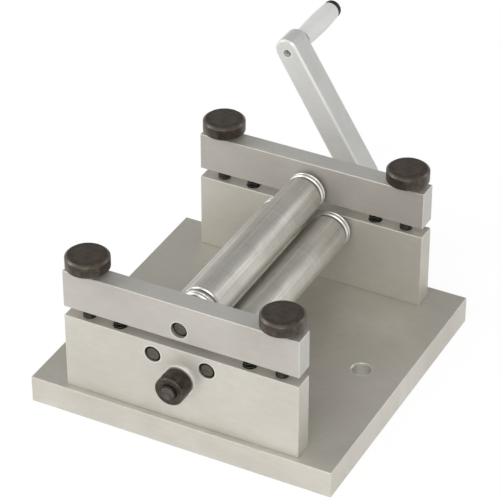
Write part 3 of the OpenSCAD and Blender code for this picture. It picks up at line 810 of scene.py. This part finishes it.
for node, body in (("top_roller", "top_roller"), ("lower_roller_left", "lower_left"),
                   ("lower_roller_right", "lower_right")):
    spot = middle(node)
    piece = turned(node + "_turned", rollerOutline(node), rollerSteel, (spot.x, 0, spot.z),
                   roller["around"], lying=True, reach=roller["corner"])
    standFor(piece, node, body)
print("rollers made")


# grip: barrel-shaped nylon sleeve with rounded ends
grip = {"bore": 5.1, "root": 9.1, "far": 9.4, "swell": 0.58, "round": 0.8, "steps": 18, "around": 64}
roundAngles = [math.radians(angle) for angle in (0, 20, 40, 60, 80)]
low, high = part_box("grip")
spot = middle("grip")
gripR = (high.x - low.x) / 2 / mm
gripLength = (high.y - low.y) / mm


def gripRadius(share):
    swell = grip["swell"]
    if share < swell:
        root = grip["root"] / 2
        return root + (gripR - root) * math.sin(math.pi / 2 * share / swell)
    far = grip["far"] / 2
    return far + (gripR - far) * math.cos(math.pi / 2 * (share - swell) / (1 - swell))


outline = [(grip["bore"] / 2, gripLength), (grip["bore"] / 2, 0)]
for bend in roundAngles:
    outline.append((
        grip["root"] / 2 - grip["round"] * (1 - math.sin(bend)),
        grip["round"] * (1 - math.cos(bend))))
swellLength = gripLength - 2 * grip["round"]
for step in range(grip["steps"] + 1):
    share = step / grip["steps"]
    outline.append((gripRadius(share), grip["round"] + swellLength * share))
for bend in roundAngles[1:]:
    outline.append((
        grip["far"] / 2 - grip["round"] * (1 - math.cos(bend)),
        gripLength - grip["round"] * (1 - math.sin(bend))))
outline.append((grip["bore"] / 2, gripLength))
piece = turned("grip_sleeve", outline, whiteNylon, (spot.x, low.y, spot.z), grip["around"], lying=True)
standFor(piece, "grip", "grip")
print("grip made")


# grip screw: threaded end in the arm, plain shoulder in the grip, domed head beyond it
gripScrew = {"thread": 4, "shoulder": 5, "play": 0.4, "domeSteps": 10, "around": 64}
low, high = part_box("grip_screw")
spot = middle("grip_screw")
armBack = (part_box("crank_arm")[1].y - low.y) / mm
headStart = (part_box("grip")[1].y - low.y) / mm + gripScrew["play"]
headTop = (high.y - low.y) / mm
headR = (high.x - low.x) / 2 / mm
outline = [
    (0, 0), (gripScrew["thread"] / 2, 0), (gripScrew["thread"] / 2, armBack),
    (gripScrew["shoulder"] / 2, armBack), (gripScrew["shoulder"] / 2, headStart), (headR, headStart),
]
for step in range(gripScrew["domeSteps"]):
    bend = math.pi / 2 * step / gripScrew["domeSteps"]
    rise = (headTop - headStart) * (1 + math.sin(bend)) / 2
    outline.append((headR * math.cos(bend), headStart + rise))
outline.append((0, headTop))
piece = turned("grip_screw_turned", outline, capSteel, (spot.x, low.y, spot.z),
               gripScrew["around"], lying=True)
standFor(piece, "grip_screw", "crank")
print("grip screw made")


# floor, light and camera
stage = {"size": 60, "colour": (0.93, 0.93, 0.93), "roughness": 0.9, "shown": 0.86, "white": 1.06}


def makeFloor():
    made, tree, shader = startMaterial("paleFloor")
    shader.inputs["Base Color"].default_value = (*stage["colour"], 1)
    shader.inputs["Roughness"].default_value = stage["roughness"]
    out = next(n for n in tree.nodes if n.type == "OUTPUT_MATERIAL")
    white = addNode(tree, "ShaderNodeEmission", {"Strength": stage["white"]})
    path = addNode(tree, "ShaderNodeLightPath")
    seen = mathNode(tree, "ADD", path.outputs["Is Camera Ray"], path.outputs["Is Glossy Ray"])
    seen = mathNode(tree, "ADD", seen, path.outputs["Is Transmission Ray"])
    share = mathNode(tree, "MULTIPLY", mathNode(tree, "MINIMUM", seen, 1), stage["shown"])
    blend = addNode(tree, "ShaderNodeMixShader")
    join(tree, share, blend.inputs[0])
    join(tree, shader.outputs[0], blend.inputs[1])
    join(tree, white.outputs[0], blend.inputs[2])
    join(tree, blend.outputs[0], out.inputs["Surface"])
    return made


mesh = bpy.data.meshes.new("floor")
half = stage["size"] / 2
mesh.from_pydata([(-half, -half, 0), (half, -half, 0), (half, half, 0), (-half, half, 0)], [], [(0, 1, 2, 3)])
addPiece("floor", mesh, makeFloor(), (0, 0, cadBox[0].z))

# sky: bright at the horizon, dimmer overhead, and brighter on the front side
skyStops = [(0.0, 0.95), (0.5, 0.9), (0.58, 0.7), (0.72, 0.42), (1.0, 0.36)]
skyWarmth = 0.985  # share of blue
frontGain = 0.4
rearLoss = 0.36
world = bpy.data.worlds.new("studio")
world.use_nodes = True
bpy.context.scene.world = world
sky = world.node_tree
place = addNode(sky, "ShaderNodeTexCoord")
split = addNode(sky, "ShaderNodeSeparateXYZ")
join(sky, place.outputs["Generated"], split.inputs[0])
ramp = addNode(sky, "ShaderNodeValToRGB")
while len(ramp.color_ramp.elements) < len(skyStops):
    ramp.color_ramp.elements.new(0.5)
for element, (position, glow) in zip(ramp.color_ramp.elements, skyStops):
    element.position = position
    element.color = (glow, glow, glow * skyWarmth, 1)
join(sky, spread(sky, split.outputs["Z"], -1, 1, 0, 1), ramp.inputs[0])
background = next(n for n in sky.nodes if n.type == "BACKGROUND")
join(sky, ramp.outputs["Color"], background.inputs["Color"])
join(sky, spread(sky, split.outputs["Y"], -1, 1, 1 + frontGain, 1 - rearLoss), background.inputs["Strength"])

lamps = {
    "leftSoftbox": {"towards": (-0.80, -0.30, 0.55), "size": 0.9, "power": 7.2},
    "rightSoftbox": {"towards": (0.62, 0.67, 0.41), "size": 0.9, "power": 3.4},
    "frontSoftbox": {"towards": (0.15, -0.80, 0.55), "size": 1.25, "power": 10.7},
}
lampDistance = 1.7
lampTarget = Vector((0, 0, 50 * mm))
for name, lamp in lamps.items():
    data = bpy.data.lights.new(name, "AREA")
    data.size = lamp["size"]
    data.energy = lamp["power"]
    made = bpy.data.objects.new(name, data)
    bpy.context.scene.collection.objects.link(made)
    way = Vector(lamp["towards"]).normalized()
    made.location = lampTarget + way * lampDistance
    made.rotation_euler = way.to_track_quat("Z", "Y").to_euler()

shot = {"azimuth": 27.29, "elevation": 34.28, "distance": 1174.96, "target": (-7.26, 10.38, 53.84),
        "lens": 183.3, "sensor": 36}
data = bpy.data.cameras.new("photoCamera")
data.lens = shot["lens"]
data.sensor_width = shot["sensor"]
camera = bpy.data.objects.new("photoCamera", data)
bpy.context.scene.collection.objects.link(camera)
turn = math.radians(shot["azimuth"])
tilt = math.radians(shot["elevation"])
back = Vector((math.sin(turn) * math.cos(tilt), -math.cos(turn) * math.cos(tilt), math.sin(tilt)))
camera.location = (Vector(shot["target"]) + back * shot["distance"]) * mm
camera.rotation_euler = back.to_track_quat("Z", "Y").to_euler()
bpy.context.scene.camera = camera
bpy.context.scene.view_settings.view_transform = "Standard"
print("floor, light and camera set")
